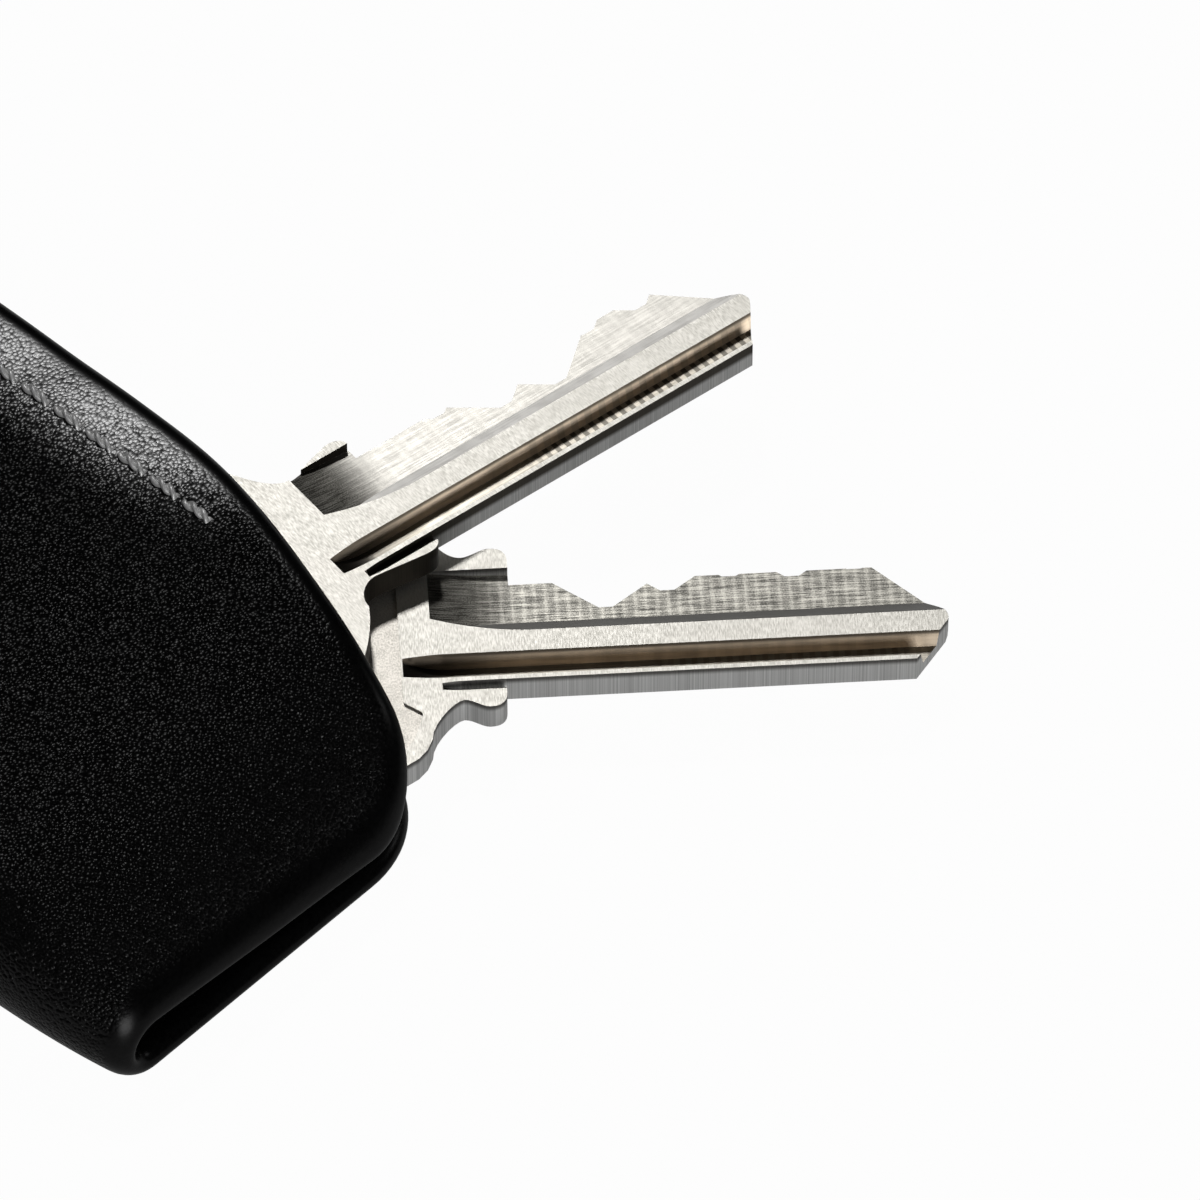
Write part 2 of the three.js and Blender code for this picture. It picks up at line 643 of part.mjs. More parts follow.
export default cover;
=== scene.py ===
"""Looks of the leather key cover: leather, linings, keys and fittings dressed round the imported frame."""

import math

import bmesh
import bpy
import numpy as np
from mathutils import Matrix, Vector


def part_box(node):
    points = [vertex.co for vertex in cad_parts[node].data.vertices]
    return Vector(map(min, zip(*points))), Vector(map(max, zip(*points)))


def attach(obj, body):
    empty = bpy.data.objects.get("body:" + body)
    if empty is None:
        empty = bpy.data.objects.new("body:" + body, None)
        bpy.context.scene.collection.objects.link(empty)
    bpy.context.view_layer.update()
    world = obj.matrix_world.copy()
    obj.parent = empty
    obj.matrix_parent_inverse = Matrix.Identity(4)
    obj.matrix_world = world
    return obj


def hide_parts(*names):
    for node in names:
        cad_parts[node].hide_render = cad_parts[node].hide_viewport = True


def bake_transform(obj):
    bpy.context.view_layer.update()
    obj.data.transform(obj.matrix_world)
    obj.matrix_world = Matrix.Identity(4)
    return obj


MM = 0.001
UP = Vector((0, 0, 1))

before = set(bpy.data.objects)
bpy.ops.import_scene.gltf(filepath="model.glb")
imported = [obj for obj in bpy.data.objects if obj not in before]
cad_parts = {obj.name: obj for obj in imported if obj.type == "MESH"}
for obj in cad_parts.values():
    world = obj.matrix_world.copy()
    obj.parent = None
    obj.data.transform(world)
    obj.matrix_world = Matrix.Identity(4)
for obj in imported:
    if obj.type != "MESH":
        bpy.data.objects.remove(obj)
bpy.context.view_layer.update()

# Leather, in millimetres, in the part's own frame
FLAP_LOW, FLAP_HIGH = (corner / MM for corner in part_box("front_leather"))
NEAR_END = -FLAP_LOW.x
FAR_END = FLAP_HIGH.x
OPEN_SIDE = -FLAP_LOW.y
FOLD_LINE = FLAP_HIGH.y
HALF_SEAM = 0.15
CREASE_Y = FOLD_LINE + HALF_SEAM
COVER_TOP = FLAP_HIGH.z
LEATHER_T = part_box("back_leather")[1].z / MM
HALF_T = LEATHER_T / 2
FULL_GAP = COVER_TOP - 2 * LEATHER_T
FLANK_TURN = math.radians(16)
FLANK_START = 4.4
NEAR_CORNER_R = 7.7
FLANK_R = 40
FAR_CORNER_R = 9
TIGHTEST_R = 0.4
NEAR_PINCH = 0.3
NEAR_PINCH_FOLD = 2.3
NEAR_SLOPE = 28
NEAR_CURVE = 4.6
FAR_PINCH = 1.2
FAR_SLOPE = 9
FAR_CURVE = 2.5

# How the leather's mesh is stepped: across the rolled edge, further in, and round the outline
ROLL_STEPS = 9
ROLL_REACH = 1.3
ROLL_TURNS = [math.pi / 2 * step / ROLL_STEPS for step in range(ROLL_STEPS + 1)]
RING_INSETS = [ROLL_REACH * (1 - math.cos(turn)) for turn in ROLL_TURNS]
RING_INSETS += [1.55, 1.9, 2.4, 3, 3.8, 4.8, 6, 7.4, 9, 11, 13.5, 16, 18.5, 21, 23.5, 26]
RING_COUNTS = (22, 16, 26, 14, 46, 14, 20)
STRIP_ROWS = 3
SPINE_STEPS = 28

# Stitches: two twisted plies each, and the line that they follow on the flap
STITCH_PITCH = 2.75
STITCH_LENGTH = 2.35
STITCH_RISE = 0.36
STITCH_CURVE = 0.6
STITCH_DIP = 0.14
STITCH_STEPS = 23
PLY_R = 0.2
PLY_SPREAD = 0.75 * PLY_R
PLY_TWIST = 2.6 * math.pi
PLY_SIDES = 8
SEAM_START_X = 2.95
SEAM_SIDE_Y = -5.3
SEAM_FAR_INSET = 6.5
SEAM_END_Y = 19
SEAM_TURN_R = 4
SEAM_TURN_STEPS = 12
SEAM_STEP = 0.5

# Keys, in millimetres: places along the blade from its shoulder, across it from its straight edge, and depths
BLADE_H = 8.25
FLUSH = 0.03
STAMP_DEPTH = 0.2
STAMP_START = -6.9
STAMP_STEP_START = -5
BOW_START = -6.6
GROOVE_LOW, GROOVE_HIGH = 0.2, 2.4
GROOVE_START = -7.05
GROOVE_DEEPEST = 1.3
SHORT_GROOVE_HIGH = 0.1
SHORT_GROOVE_START = -7
KEY_EDGE = 0.07
BOW_RIM_EDGE = 0.25

# How far a face's normal points up: below the first it is a wall, above the second it is level
WALL_BELOW = 0.5
LEVEL_ABOVE = 0.96

# Sizes for cleaning meshes, in millimetres, and angles in degrees past which an edge is sharp
MERGE_REACH = 0.002
SLIVER = 0.001
FLAT_ANGLE = 0.8
BEVEL_ANGLE = 28
RIM_ANGLE = 60
LEATHER_SHARP = 50
THREAD_SHARP = 60
RIGID_SHARP = 35

# Camera: where the photograph puts the post, and how many of its pixels make a millimetre there
PHOTO_SIZE = 1200
PHOTO_SCALE = 16
POST_PIXEL = (173.43, 644.47)
POST_LEVEL = 4.9
VIEW_AZIMUTH = math.radians(223)
VIEW_ELEVATION = math.radians(49.5)
VIEW_DISTANCE = 700
SENSOR = 36

# Lamps: millimetres to the picture's left, away from the camera and up, then width and power
LAMPS = {
    "key_lamp": (80, 430, 610, 70, 1.15),
    "front_lamp": (-260, -666, 150, 280, 1.9),
    "camera_lamp": (0, -552, 646, 250, 0.2),
    "left_lamp": (620, 0, 500, 140, 0.14),
    "right_lamp": (-640, 280, 400, 140, 0.18),
}
ROOM_LIGHT = 0.008

# Floor: how white the camera and the metal see it, how far it reaches in metres and how far down it lies
FLOOR_SEEN = 0.975
FLOOR_MIRRORED = 0.2
FLOOR_REACH = 20
FLOOR_DROP = 0.02


# Small helpers


def new_object(name, data):
    piece = bpy.data.objects.new(name, data)
    bpy.context.scene.collection.objects.link(piece)
    return piece


def smooth(mesh, sharp_degrees):
    mesh.shade_smooth()
    mesh.set_sharp_from_angle(angle=math.radians(sharp_degrees))


def raw_mesh(name, points, faces):
    """A mesh from millimetre points."""
    mesh = bpy.data.meshes.new(name)
    mesh.from_pydata([Vector(point) * MM for point in points], [], faces)
    return mesh


def clean(mesh, sharp_degrees):
    """Merges coincident points, drops slivers, turns the faces outwards and smooths them."""
    shape = bmesh.new()
    shape.from_mesh(mesh)
    bmesh.ops.remove_doubles(shape, verts=shape.verts, dist=MERGE_REACH * MM)
    bmesh.ops.dissolve_degenerate(shape, edges=shape.edges, dist=SLIVER * MM)
    bmesh.ops.recalc_face_normals(shape, faces=shape.faces)
    shape.to_mesh(mesh)
    shape.free()
    smooth(mesh, sharp_degrees)


def settled_mesh(piece):
    """A plain mesh of an object with its modifiers applied."""
    solid = piece.evaluated_get(bpy.context.evaluated_depsgraph_get())
    return bpy.data.meshes.new_from_object(solid)


def finish_piece(piece, body, slot, *nodes):
    """A finished piece rides on its body and stands for its CAD nodes, which it hides. The slot is not used."""
    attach(piece, body)
    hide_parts(*nodes)


# Node building


class Nodes:
    """Short calls to add and link the nodes of one tree."""

    def __init__(self, tree):
        self.tree = tree

    def feed(self, node, inputs):
        """Links inputs of a node to sockets, or sets them to plain values."""
        for name, value in inputs.items():
            socket = node.inputs[name]
            if isinstance(value, bpy.types.NodeSocket):
                self.tree.links.new(value, socket)
            else:
                socket.default_value = value

    def add(self, kind, inputs=None, **settings):
        node = self.tree.nodes.new(kind)
        for name, value in settings.items():
            setattr(node, name, value)
        self.feed(node, inputs or {})
        return node

    def group(self, tree, inputs):
        return self.add("ShaderNodeGroup", inputs, node_tree=tree).outputs

    def object_place(self):
        return self.add("ShaderNodeTexCoord").outputs["Object"]

    def axis(self, vector, name):
        return self.add("ShaderNodeSeparateXYZ", {"Vector": vector}).outputs[name]

    def turned(self, vector, degrees):
        inputs = {"Vector": vector, "Rotation": (0, 0, math.radians(degrees))}
        return self.add("ShaderNodeMapping", inputs).outputs["Vector"]

    def vector_math(self, operation, a, b):
        return self.add("ShaderNodeVectorMath", {0: a, 1: b}, operation=operation).outputs["Vector"]

    def scaled(self, vector, scale):
        return self.vector_math("MULTIPLY", vector, scale)

    def math(self, operation, a, b=0.0, c=0.0):
        return self.add("ShaderNodeMath", {0: a, 1: b, 2: c}, operation=operation).outputs[0]

    def times(self, a, b):
        return self.math("MULTIPLY", a, b)

    def ramp(self, value, low, high, to_low=0.0, to_high=1.0):
        node = self.add(
            "ShaderNodeMapRange",
            {"Value": value, "From Min": low, "From Max": high, "To Min": to_low, "To Max": to_high},
            interpolation_type="SMOOTHSTEP",
        )
        return node.outputs["Result"]

    def noise(self, vector, scale, detail=3.0, roughness=0.55):
        inputs = {"Vector": vector, "Scale": scale, "Detail": detail, "Roughness": roughness}
        return self.add("ShaderNodeTexNoise", inputs).outputs["Fac"]

    def mix(self, factor, a, b):
        """Blends two colours, each of them a socket or a red, green and blue triple."""
        a, b = (colour if isinstance(colour, bpy.types.NodeSocket) else (*colour, 1) for colour in (a, b))
        return self.add("ShaderNodeMix", {0: factor, 6: a, 7: b}, data_type="RGBA").outputs[2]

    def bump(self, height, distance_mm, strength=1.0):
        inputs = {"Height": height, "Distance": distance_mm * MM, "Strength": strength}
        return self.add("ShaderNodeBump", inputs).outputs["Normal"]


def node_group(name, inputs, outputs):
    """An empty shader group with named sockets, the helper that fills it, its inputs and its end node."""
    tree = bpy.data.node_groups.new(name, "ShaderNodeTree")
    for socket, value in inputs.items():
        kind = "NodeSocketVector" if value is None else "NodeSocketFloat"
        made = tree.interface.new_socket(socket, in_out="INPUT", socket_type=kind)
        if value is not None:
            made.default_value = value
    for socket in outputs:
        tree.interface.new_socket(socket, in_out="OUTPUT", socket_type="NodeSocketFloat")
    build = Nodes(tree)
    return tree, build, build.add("NodeGroupInput").outputs, build.add("NodeGroupOutput")


def material(name):
    """A new material, its node helper and its Principled shader."""
    made = bpy.data.materials.new(name)
    made.use_nodes = True
    return made, Nodes(made.node_tree), made.node_tree.nodes["Principled BSDF"]


# Shared effects


def make_tool_marks():
    """Fine parallel cutter lines that run along the second axis of the given places, in millimetres."""
    tree, build, given, out = node_group(
        "tool_marks",
        {"Place": None, "Spacing": 0.06, "Length": 2.0, "Unevenness": 0.5},
        ["Height", "Tone"],
    )
    across = build.math("DIVIDE", 1.0, given["Spacing"])
    along = build.math("DIVIDE", 1.0, given["Length"])
    stretch = build.add("ShaderNodeCombineXYZ", {"X": across, "Y": along, "Z": 0.0}).outputs["Vector"]
    lines = build.noise(build.scaled(given["Place"], stretch), 1.0, 2.0, 0.6)
    patches = build.noise(given["Place"], 0.8, 3.0)
    uneven = build.times(build.math("SUBTRACT", patches, 0.5), given["Unevenness"])
    build.feed(out, {"Height": lines, "Tone": build.math("ADD", lines, uneven)})
    return tree


def make_cutter_chatter():
    """The lattice of bright facets that a shaking cutter leaves, with grit between them."""
    tree, build, given, out = node_group("cutter_chatter", {"Place": None, "Step": 0.8, "Row": 0.4}, ["Tone"])
    wobble = build.math("SUBTRACT", build.noise(given["Place"], 1.1, 2.0), 0.5)
    waves = []
    for axis, period, drift in (("X", "Step", 1.5), ("Y", "Row", 4.0)):
        turns = build.math("DIVIDE", build.axis(given["Place"], axis), given[period])
        phase = build.math("MULTIPLY_ADD", turns, 2 * math.pi, build.times(wobble, drift))
        waves.append(build.math("MULTIPLY_ADD", build.math("SINE", phase), 0.5, 0.5))
    crisp = build.math("POWER", waves[0], 2.5)
    facets = build.math("MULTIPLY_ADD", waves[1], 0.2, build.times(crisp, 0.4))
    grit = build.noise(given["Place"], 10.0, 2.0, 0.7)
    build.feed(out, {"Tone": build.math("MULTIPLY_ADD", build.math("SUBTRACT", grit, 0.5), 2.4, facets)})
    return tree


def make_pebble_grain():
    """Leather grain: rounded pebbles of uneven height, with a mask of the creases between them for painted
    shade.
    """
    tree, build, given, out = node_group(
        "pebble_grain", {"Place": None, "Pebble Size": 0.35}, ["Height", "Crease Shade"]
    )
    scale = build.math("DIVIDE", 1 / MM, given["Pebble Size"])
    drift = build.add("ShaderNodeTexNoise", {"Vector": given["Place"], "Scale": 1400.0, "Detail": 2.0})
    wander = build.scaled(drift.outputs["Color"], (0.2 * MM,) * 3)
    place = build.vector_math("ADD", given["Place"], wander)
    cells = build.add("ShaderNodeTexVoronoi", {"Vector": place, "Scale": scale}).outputs
    chance = build.axis(cells["Color"], "X")
    swell = build.math("MULTIPLY_ADD", chance, 0.6, 0.65)
    round_top = build.math("SUBTRACT", 0.2, build.math("POWER", cells["Distance"], 2.0))
    build.feed(
        out,
        {"Height": build.times(round_top, swell), "Crease Shade": build.ramp(cells["Distance"], 0.4, 0.75)},
    )
    return tree


TOOL_MARKS = make_tool_marks()
CHATTER = make_cutter_chatter()
PEBBLE_GRAIN = make_pebble_grain()


# Materials


def leather_material():
    """Black leather, polished by the hand along its open side. Its pebble grain fades into the smooth
    rolled edge and is coarser at the near end."""
    made, build, shader = material("black_leather")
    place = build.object_place()
    grain = build.group(PEBBLE_GRAIN, {"Place": build.scaled(place, (1.0, 0.85, 1.0)), "Pebble Size": 0.25})
    edge_inset = build.add("ShaderNodeAttribute", attribute_name="edge_inset").outputs["Fac"]
    inside = build.ramp(edge_inset, 0.8, 2.0, 0.02, 1.0)
    x, y = build.axis(place, "X"), build.axis(place, "Y")
    from_near_end = build.ramp(build.math("SUBTRACT", x, y), 4 * MM, 16 * MM)
    by_open_side = build.ramp(y, -7 * MM, -1 * MM, 1.0, 0.0)
    polish = build.times(build.times(from_near_end, by_open_side), inside)
    coarser = build.ramp(x, -20 * MM, -6 * MM, 1.35, 1.0)
    relief = build.times(build.math("MULTIPLY_ADD", polish, -0.75, inside), coarser)
    normal = build.bump(build.times(grain["Height"], relief), 0.1)
    build.feed(
        shader,
        {
            # The creases between the pebbles are painted darker, as shade
            "Base Color": build.mix(grain["Crease Shade"], (0.003, 0.003, 0.0031), (0.0015, 0.0015, 0.0016)),
            "Roughness": build.math("MULTIPLY_ADD", build.noise(place, 260.0, 4.0), 0.1, 0.23),
            "Normal": normal,
            "Coat Weight": polish,
            "Coat Normal": normal,
            "Coat Roughness": 0.3,
            "Coat IOR": 1.8,
            "Specular IOR Level": 0.13,
        },
    )
    return made


def thread_material():
    """Waxed grey thread with fine twisted fibres."""
    made, build, shader = material("waxed_thread")
    fibres = build.noise(build.scaled(build.object_place(), (1.0, 3.0, 3.0)), 9000.0, 2.0)
    build.feed(
        shader,
        {
            "Base Color": build.mix(fibres, (0.7, 0.7, 0.7), (0.95, 0.95, 0.94)),
            "Normal": build.bump(fibres, 0.03, 0.6),
            "Roughness": 0.4,
            "Metallic": 0.5,
        },
    )
    return made


def lining_material():
    """Close matte twill."""
    made, build, shader = material("twill_lining")
    place = build.object_place()
    wave = {"Vector": build.turned(place, 45), "Scale": 900.0, "Distortion": 0.6, "Detail": 1.0}
    ribs = build.add("ShaderNodeTexWave", wave).outputs["Fac"]
    weave = build.math("MULTIPLY_ADD", build.noise(place, 2600.0, 3.0), 0.5, ribs)
    build.feed(
        shader,
        {
            "Base Color": build.mix(weave, (0.014, 0.014, 0.015), (0.036, 0.036, 0.038)),
            "Normal": build.bump(weave, 0.08, 0.7),
            "Roughness": 0.9,
            "Sheen Weight": 0.15,
        },
    )
    return made


# Kinds of tool mark: degrees that they are turned from across the blade, spacing, length, unevenness
ACROSS = (0, 0.085, 0.45, 0.25)
ALONG = (90, 0.09, 6.0, 0.6)
GRAINY = (0, 0.11, 0.14, 0.4)
MILLING = (90, 0.1, 2.5, 0.3)

# Between which tones of the marks a colour goes from dark to light, and the gloss from dull to bright
COLOUR_TONES = (0.28, 0.66)
GLOSS_TONES = (0.2, 0.8)


def toned(colour, share):
    return tuple(share * c for c in colour)


def blade_lines(build, kind):
    """Places on a key's blade, and tool marks of a kind on them."""
    turn, spacing, length, unevenness = kind
    blade = build.add("ShaderNodeUVMap", uv_map="blade").outputs["UV"]
    marks = {"Place": build.turned(blade, turn), "Spacing": spacing, "Length": length, "Unevenness": unevenness}
    return blade, build.group(TOOL_MARKS, marks)


def nickel_silver(name, kind, dark, light, roughness, relief):
    """Nickel silver with tool marks: dark and light are the tones that they swing between."""
    made, build, shader = material(name)
    _, lines = blade_lines(build, kind)
    build.feed(
        shader,
        {
            "Base Color": build.mix(build.ramp(lines["Tone"], *COLOUR_TONES), dark, light),
            "Roughness": build.ramp(lines["Tone"], *GLOSS_TONES, *roughness),
            "Normal": build.bump(lines["Height"], relief),
            "Metallic": 1.0,
        },
    )
    return made


def groove_material(name, colour, roughness, top, tooth_pitch, tooth_share):
    """A cut groove: painted dark as shade near its start, where the cutter went in, and under the land's edge,
    which lies at the level top, with the marks of a shaking cutter further on."""
    made, build, shader = material(name)
    blade, lines = blade_lines(build, ALONG)
    shaded_dark = toned(colour, 0.16)
    along = build.axis(blade, "X")
    level = build.axis(build.object_place(), "Z")
    shade = build.mix(build.ramp(lines["Tone"], *COLOUR_TONES), toned(colour, 0.75), colour)
    # Painted shade near the start of the groove
    shade = build.mix(build.ramp(along, -6.5, 1), shaded_dark, shade)
    # Painted shade under the land's edge
    shade = build.mix(build.ramp(level, (top - 0.35) * MM, (top - 0.12) * MM), shade, shaded_dark)
    wave = build.math("SINE", build.times(along, 2 * math.pi / tooth_pitch))
    gaps = build.times(build.ramp(wave, -0.15, 0.25, 0.0, tooth_share), build.ramp(along, 7, 11))
    build.feed(
        shader,
        {
            "Base Color": build.mix(gaps, shade, shaded_dark),
            "Roughness": build.ramp(lines["Tone"], *GLOSS_TONES, *roughness),
            "Normal": build.bump(lines["Height"], 0.002),
            "Metallic": 1.0,
        },
    )
    return made


def milled_material(name, dark, light, chatter_share):
    """The thinned upper half of a blade: cutter lines, more or less chatter, and a speckled run-out that is
    painted dark towards the bow as shade.
    """
    made, build, shader = material(name)
    blade, lines = blade_lines(build, MILLING)
    chatter = build.group(CHATTER, {"Place": blade, "Step": 0.7, "Row": 0.36})["Tone"]
    marks = build.math("MULTIPLY_ADD", build.math("SUBTRACT", chatter, 0.22), chatter_share, lines["Tone"])
    face = build.mix(build.ramp(marks, 0.2, 0.8), dark, light)
    grit = build.times(build.noise(blade, 12.0, 2.0, 0.7), 0.5)
    streaks = build.ramp(build.math("MULTIPLY_ADD", lines["Tone"], 0.5, grit), 0.4, 0.68)
    # The speckled run-out's colours, painted dark as shade
    shaded_dark = build.mix(streaks, (0.04, 0.038, 0.033), (0.29, 0.28, 0.25))
    frayed = build.math("MULTIPLY_ADD", build.noise(blade, 5.0, 3.0), 0.7, build.axis(blade, "X"))
    build.feed(
        shader,
        {
            "Base Color": build.mix(build.ramp(frayed, -3.0, 1.8), shaded_dark, face),
            "Roughness": build.ramp(marks, *GLOSS_TONES, 0.5, 0.4),
            "Normal": build.bump(marks, 0.004),
            "Metallic": 1.0,
        },
    )
    return made


def flank_material(name, band, dark, light, shaded_to):
    """Side wall of a stamped blank: painted dark above as a dark reflection, paler below.
    Before the place shaded_to along the blade the wall is painted dark all the way down, as shade."""
    made, build, shader = material(name)
    blade, lines = blade_lines(build, GRAINY)
    level = build.axis(build.object_place(), "Z")
    # Painted dark reflection above the band, and painted shade before shaded_to
    below_band = build.math("SUBTRACT", 1.0, build.ramp(level, band[0] * MM, band[1] * MM))
    pale = build.times(below_band, build.ramp(build.axis(blade, "X"), shaded_to - 3, shaded_to))
    grain = build.ramp(lines["Tone"], 0.3, 0.7, 0.0, 0.35)
    build.feed(
        shader,
        {
            "Base Color": build.mix(grain, build.mix(pale, dark, light), (0.02, 0.02, 0.02)),
            "Normal": build.bump(lines["Height"], 0.006),
            "Roughness": 0.52,
            "Metallic": 1.0,
        },
    )
    return made


def steel_material(name, colour, roughness):
    """Satin plated metal with a faint unevenness."""
    made, build, shader = material(name)
    place = build.object_place()
    smudges = build.noise(place, 160.0, 3.0)
    build.feed(
        shader,
        {
            "Base Color": build.mix(smudges, toned(colour, 0.8), colour),
            "Roughness": build.ramp(smudges, 0.3, 0.7, roughness - 0.06, roughness + 0.08),
            "Normal": build.bump(build.noise(place, 1500.0, 4.0), 0.004, 0.5),
            "Metallic": 1.0,
        },
    )
    return made


def nylon_material():
    """Black nylon with a moulded grain."""
    made, build, shader = material("black_nylon")
    grain = build.noise(build.object_place(), 3000.0, 2.0)
    build.feed(
        shader,
        {
            "Base Color": build.mix(grain, (0.02, 0.02, 0.022), (0.034, 0.034, 0.036)),
            "Normal": build.bump(grain, 0.01, 0.5),
            "Roughness": 0.5,
        },
    )
    return made


LEATHER = leather_material()
THREAD = thread_material()
LINING = lining_material()
SATIN_STEEL = steel_material("satin_steel", (0.56, 0.56, 0.57), 0.34)
MAGNET = steel_material("plated_magnet", (0.42, 0.43, 0.44), 0.26)
NYLON = nylon_material()


# Leather shapes


def cover_corners(inset):
    """The leather's plan outline, moved in from its free edges, as corners with their radii."""
    slope = math.tan(FLANK_TURN)
    drop = inset / math.cos(FLANK_TURN)
    open_y = -OPEN_SIDE + inset
    near_x = -NEAR_END + inset
    far_x = FAR_END - inset
    flank_y = -OPEN_SIDE + drop + slope * (FLANK_START - near_x)
    meet_x = FLANK_START + (drop - inset) / slope
    return [
        (near_x, flank_y, max(NEAR_CORNER_R - inset, TIGHTEST_R)),
        (meet_x, open_y, FLANK_R - inset),
        (far_x, open_y, max(FAR_CORNER_R - inset, TIGHTEST_R)),
    ]


def outline_ring(inset, counts):
    """Points round the free edges at that inset, from the crease at the near end to the crease at the far end.
    counts gives the steps on each straight run and each corner, in turn."""
    corners = cover_corners(inset)
    start = np.array([corners[0][0], CREASE_Y])
    end = np.array([corners[-1][0], CREASE_Y])
    path = [start, *(np.array(c[:2]) for c in corners), end]
    points, here = [], start
    for index, (x, y, radius) in enumerate(corners):
        corner = np.array([x, y])
        back = path[index] - corner
        ahead = path[index + 2] - corner
        back /= np.linalg.norm(back)
        ahead /= np.linalg.norm(ahead)
        half = math.acos(np.clip(back @ ahead, -1, 1)) / 2
        reach = radius / math.tan(half)
        entry, leave = corner + reach * back, corner + reach * ahead
        centre = corner + (back + ahead) / np.linalg.norm(back + ahead) * radius / math.sin(half)
        run, bend = counts[2 * index], counts[2 * index + 1]
        points += [here + (entry - here) * step / run for step in range(run)]
        spoke = entry - centre
        turn = (math.pi - 2 * half) * (1 if ahead[0] * back[1] - ahead[1] * back[0] > 0 else -1)
        for step in range(bend):
            angle = turn * step / bend
            c, s = math.cos(angle), math.sin(angle)
            points.append(centre + np.array([c * spoke[0] - s * spoke[1], s * spoke[0] + c * spoke[1]]))
        here = leave
    run = counts[-1]
    points += [here + (end - here) * step / run for step in range(run + 1)]
    return np.array(points)


def pillow(distance, run, curve):
    return 1 - (1 - np.clip(distance / run, 0, 1)) ** curve


def gap_at(x, y):
    """Inner distance between the panels at a point of the plan."""
    pinch = NEAR_PINCH + (NEAR_PINCH_FOLD - NEAR_PINCH) * np.clip(y / FOLD_LINE, 0, 1)
    near = pinch + (FULL_GAP - pinch) * pillow(x + NEAR_END, NEAR_SLOPE, NEAR_CURVE)
    far = FAR_PINCH + (FULL_GAP - FAR_PINCH) * pillow(FAR_END - x, FAR_SLOPE, FAR_CURVE)
    return np.minimum(near, far)


def hand_wear(x, y):
    """The slight waves of used leather, which die out at the fold."""
    wave = np.sin(0.31 * x + 0.8) * np.sin(0.27 * y + 0.4) + 0.6 * np.sin(0.74 * x - 0.43 * y)
    return 0.05 * wave * np.clip((FOLD_LINE - y) / 10, 0, 1)


def flap_middle(x, y):
    """Level of the middle of the flap's leather."""
    return LEATHER_T + gap_at(x, y) + HALF_T + hand_wear(x, y)


def rolled_half(inset):
    """Half the leather's thickness at a distance in from a free edge that is rolled over."""
    share = 1 - np.clip(np.asarray(inset) / ROLL_REACH, 0, 1)
    return HALF_T * np.sqrt(1 - share**2)


def panel_grid():
    """Plan points of a panel as rows that run in from the free edges to the crease, with their insets."""
    rows = [outline_ring(inset, RING_COUNTS) for inset in RING_INSETS]
    last = rows[-1]
    crease = np.column_stack([last[:, 0], np.full(len(last), CREASE_Y)])
    insets = list(RING_INSETS)
    for step in range(1, STRIP_ROWS + 1):
        rows.append(last + (crease - last) * step / STRIP_ROWS)
        insets.append(RING_INSETS[-1])
    return np.array(rows), np.array(insets)


def grid_faces(rows, columns, start=0, flip=False):
    faces = []
    for r in range(rows - 1):
        for c in range(columns - 1):
            a = start + r * columns + c
            quad = (a, a + 1, a + columns + 1, a + columns)
            faces.append(quad[::-1] if flip else quad)
    return faces


def panel_shell(middle):
    """One leather panel: its points, the faces of its two skins, its walls and its points' insets."""
    plan, insets = panel_grid()
    rows, columns = plan.shape[:2]
    x, y = plan[..., 0], plan[..., 1]
    level = middle(x, y)
    half = np.repeat(rolled_half(insets)[:, None], columns, axis=1)
    skins = [np.stack([x, y, level + side * half], axis=-1).reshape(-1, 3) for side in (1, -1)]
    size = rows * columns
    faces = grid_faces(rows, columns) + grid_faces(rows, columns, size, True)
    border = [r * columns for r in range(rows)]
    border += [(rows - 1) * columns + c for c in range(1, columns)]
    border += [r * columns + columns - 1 for r in range(rows - 2, -1, -1)]
    walls = [(a, b, b + size, a + size) for a, b in zip(border, border[1:])]
    inset = np.tile(np.repeat(insets, columns), 2)
    return np.concatenate(skins), faces, walls, inset


def fold_stations():
    """Where the panels' points lie along the crease, from the near end to the far end."""
    plan, _ = panel_grid()
    places = np.concatenate([plan[:, 0, 0], plan[-1, :, 0], plan[:, -1, 0]])
    return np.unique(np.round(places, 4))


def spine_shell():
    """The leather round the fold, open where it meets the back panel, as panel_shell gives a panel."""
    stations = fold_stations()
    vertices, insets = [], []
    angles = np.linspace(-math.pi / 2, math.pi / 2, SPINE_STEPS + 1)
    for x in stations:
        inner = gap_at(x, FOLD_LINE) / 2
        inset = min(x + NEAR_END, FAR_END - x)
        half = float(rolled_half(inset))
        for side in (1, -1):
            radius = inner + HALF_T + side * half
            for angle in angles:
                y = CREASE_Y + radius * math.cos(angle)
                vertices.append((x, y, LEATHER_T + inner + radius * math.sin(angle)))
                insets.append(inset)
    count = len(angles)
    faces = []
    for j in range(len(stations) - 1):
        for side in range(2):
            for i in range(count - 1):
                a = j * 2 * count + side * count + i
                b = a + 2 * count
                faces.append((a, b, b + 1, a + 1) if side == 0 else (a, a + 1, b + 1, b))
    top = [j * 2 * count + count - 1 for j in range(len(stations))]
    walls = [(a, b, b + count, a + count) for a, b in zip(top, top[1:])]
    return np.array(vertices), faces, walls, np.array(insets)


def leather_piece(name, shells):
    """One leather object from shells, with the distance to the free edge kept as an attribute."""
    vertices, faces, insets, start = [], [], [], 0
    for points, skin, walls, inset in shells:
        vertices.append(points)
        insets.append(inset)
        faces += [tuple(i + start for i in face) for face in skin + walls]
        start += len(points)
    mesh = raw_mesh(name, np.concatenate(vertices), faces)
    mesh.attributes.new("edge_inset", "FLOAT", "POINT").data.foreach_set("value", np.concatenate(insets))
    clean(mesh, LEATHER_SHARP)
    mesh.materials.append(LEATHER)
    return new_object(name, mesh)


